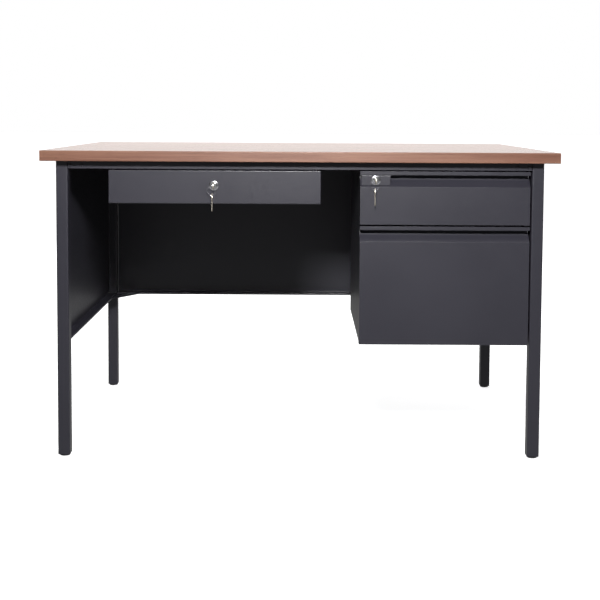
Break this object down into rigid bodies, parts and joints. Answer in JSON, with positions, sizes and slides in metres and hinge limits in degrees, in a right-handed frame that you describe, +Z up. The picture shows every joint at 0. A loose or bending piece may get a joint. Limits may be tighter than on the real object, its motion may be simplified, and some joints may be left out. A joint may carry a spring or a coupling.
{
  "type": "teacher desk",
  "caption": "Steel office desk with a wood-grain top on square legs, a lockable center drawer, and a right-hand pedestal with a box drawer over a file drawer.",
  "frame": {"origin": "on the floor, under the middle of the top", "axes": "+X to the right as seen from the user's side, -Y towards the user, +Z up"},
  "size_m": [1.2192, 0.762, 0.7366],
  "materials": {
    "laminate_top": "satin wood-grain laminate on particleboard",
    "wood_edge": "satin wood-grain edge band",
    "charcoal_steel": "charcoal powder coat, fine satin texture",
    "foot_nylon": "black moulded nylon",
    "zinc_slide": "bright zinc plate",
    "lock_chrome": "polished",
    "key_nickel": "nickel silver"
  },
  "bodies": {
    "frame": {"desktop_panel": "laminate_top", "edge_band_front": "wood_edge", "edge_band_rear": "wood_edge", "edge_band_left": "wood_edge", "edge_band_right": "wood_edge", "leg_front_left": "charcoal_steel", "leg_front_right": "charcoal_steel", "leg_rear_left": "charcoal_steel", "leg_rear_right": "charcoal_steel", "front_rail": "charcoal_steel", "side_panel_left": "charcoal_steel", "side_panel_right": "charcoal_steel", "modesty_panel": "charcoal_steel", "corner_gusset_left": "charcoal_steel", "corner_gusset_right": "charcoal_steel", "pedestal_side_left": "charcoal_steel", "pedestal_side_right": "charcoal_steel", "pedestal_back": "charcoal_steel", "pedestal_bottom": "charcoal_steel", "pedestal_top_rail": "charcoal_steel", "center_drawer_hanger_left": "zinc_slide", "center_drawer_hanger_right": "zinc_slide", "box_slide_case_left": "zinc_slide", "box_slide_case_right": "zinc_slide", "file_slide_case_left": "zinc_slide", "file_slide_case_right": "zinc_slide"},
    "center_drawer": {"center_drawer_front": "charcoal_steel", "center_drawer_tray": "charcoal_steel", "center_drawer_runner_left": "charcoal_steel", "center_drawer_runner_right": "charcoal_steel", "center_lock_barrel": "lock_chrome"},
    "box_drawer": {"box_drawer_front": "charcoal_steel", "box_drawer_tray": "charcoal_steel", "box_lock_plate": "charcoal_steel", "box_lock_barrel": "lock_chrome", "box_slide_drawer_left": "zinc_slide", "box_slide_drawer_right": "zinc_slide"},
    "file_drawer": {"file_drawer_front": "charcoal_steel", "file_drawer_tray": "charcoal_steel", "file_slide_drawer_left": "zinc_slide", "file_slide_drawer_right": "zinc_slide"},
    "file_slide_middle": {"file_slide_middle_left": "zinc_slide", "file_slide_middle_right": "zinc_slide"},
    "center_lock": {"center_lock_plug": "lock_chrome", "center_lock_cam": "zinc_slide", "center_key": "key_nickel"},
    "center_ring": {"center_key_ring": "lock_chrome"},
    "center_spare": {"center_spare_key": "key_nickel"},
    "box_lock": {"box_lock_plug": "lock_chrome", "box_lock_cam": "zinc_slide", "box_key": "key_nickel"},
    "box_ring": {"box_key_ring": "lock_chrome"},
    "box_spare": {"box_spare_key": "key_nickel"},
    "leveler_front_left": {"leveler_front_left": "foot_nylon"},
    "leveler_front_right": {"leveler_front_right": "foot_nylon"},
    "leveler_rear_left": {"leveler_rear_left": "foot_nylon"},
    "leveler_rear_right": {"leveler_rear_right": "foot_nylon"}
  },
  "joints": [
    {"name": "center_drawer_slide", "type": "slide", "parent": "frame", "child": "center_drawer", "axis": [0, -1, 0], "range_m": [0, 0.3]},
    {"name": "box_drawer_slide", "type": "slide", "parent": "frame", "child": "box_drawer", "axis": [0, -1, 0], "range_m": [0, 0.29]},
    {"name": "file_drawer_slide", "type": "slide", "parent": "frame", "child": "file_drawer", "axis": [0, -1, 0], "range_m": [0, 0.37]},
    {"name": "file_slide_middle_slide", "type": "slide", "parent": "frame", "child": "file_slide_middle", "axis": [0, -1, 0], "range_m": [0, 0.19]},
    {"name": "center_lock_turn", "type": "hinge", "parent": "center_drawer", "child": "center_lock", "pos_m": [-0.204, -0.3525, 0.6545], "axis": [0, 1, 0], "range_deg": [0, 90]},
    {"name": "center_ring_swing", "type": "hinge", "parent": "center_drawer", "child": "center_ring", "pos_m": [-0.204, -0.3686, 0.6545], "axis": [0, 1, 0], "range_deg": [0, 45]},
    {"name": "center_spare_swing", "type": "hinge", "parent": "center_ring", "child": "center_spare", "pos_m": [-0.20685, -0.3686, 0.63347], "axis": [-1, 0, 0], "range_deg": [-8, 60]},
    {"name": "box_lock_turn", "type": "hinge", "parent": "box_drawer", "child": "box_lock", "pos_m": [0.1797, -0.3505, 0.6688], "axis": [0, 1, 0], "range_deg": [0, 90]},
    {"name": "box_ring_swing", "type": "hinge", "parent": "box_drawer", "child": "box_ring", "pos_m": [0.1797, -0.3666, 0.6688], "axis": [0, 1, 0], "range_deg": [0, 45]},
    {"name": "box_spare_swing", "type": "hinge", "parent": "box_ring", "child": "box_spare", "pos_m": [0.17685, -0.3666, 0.64777], "axis": [-1, 0, 0], "range_deg": [-8, 60]},
    {"name": "leveler_front_left_screw", "type": "slide", "parent": "frame", "child": "leveler_front_left", "axis": [0, 0, -1], "range_m": [0, 0.012]},
    {"name": "leveler_front_right_screw", "type": "slide", "parent": "frame", "child": "leveler_front_right", "axis": [0, 0, -1], "range_m": [0, 0.012]},
    {"name": "leveler_rear_left_screw", "type": "slide", "parent": "frame", "child": "leveler_rear_left", "axis": [0, 0, -1], "range_m": [0, 0.012]},
    {"name": "leveler_rear_right_screw", "type": "slide", "parent": "frame", "child": "leveler_rear_right", "axis": [0, 0, -1], "range_m": [0, 0.012]}
  ],
  "couplings": [
    {"joint": "file_slide_middle_slide", "follows": "file_drawer_slide", "ratio": 0.5},
    {"joint": "center_ring_swing", "follows": "center_lock_turn", "ratio": 0.5},
    {"joint": "box_ring_swing", "follows": "box_lock_turn", "ratio": 0.5}
  ]
}
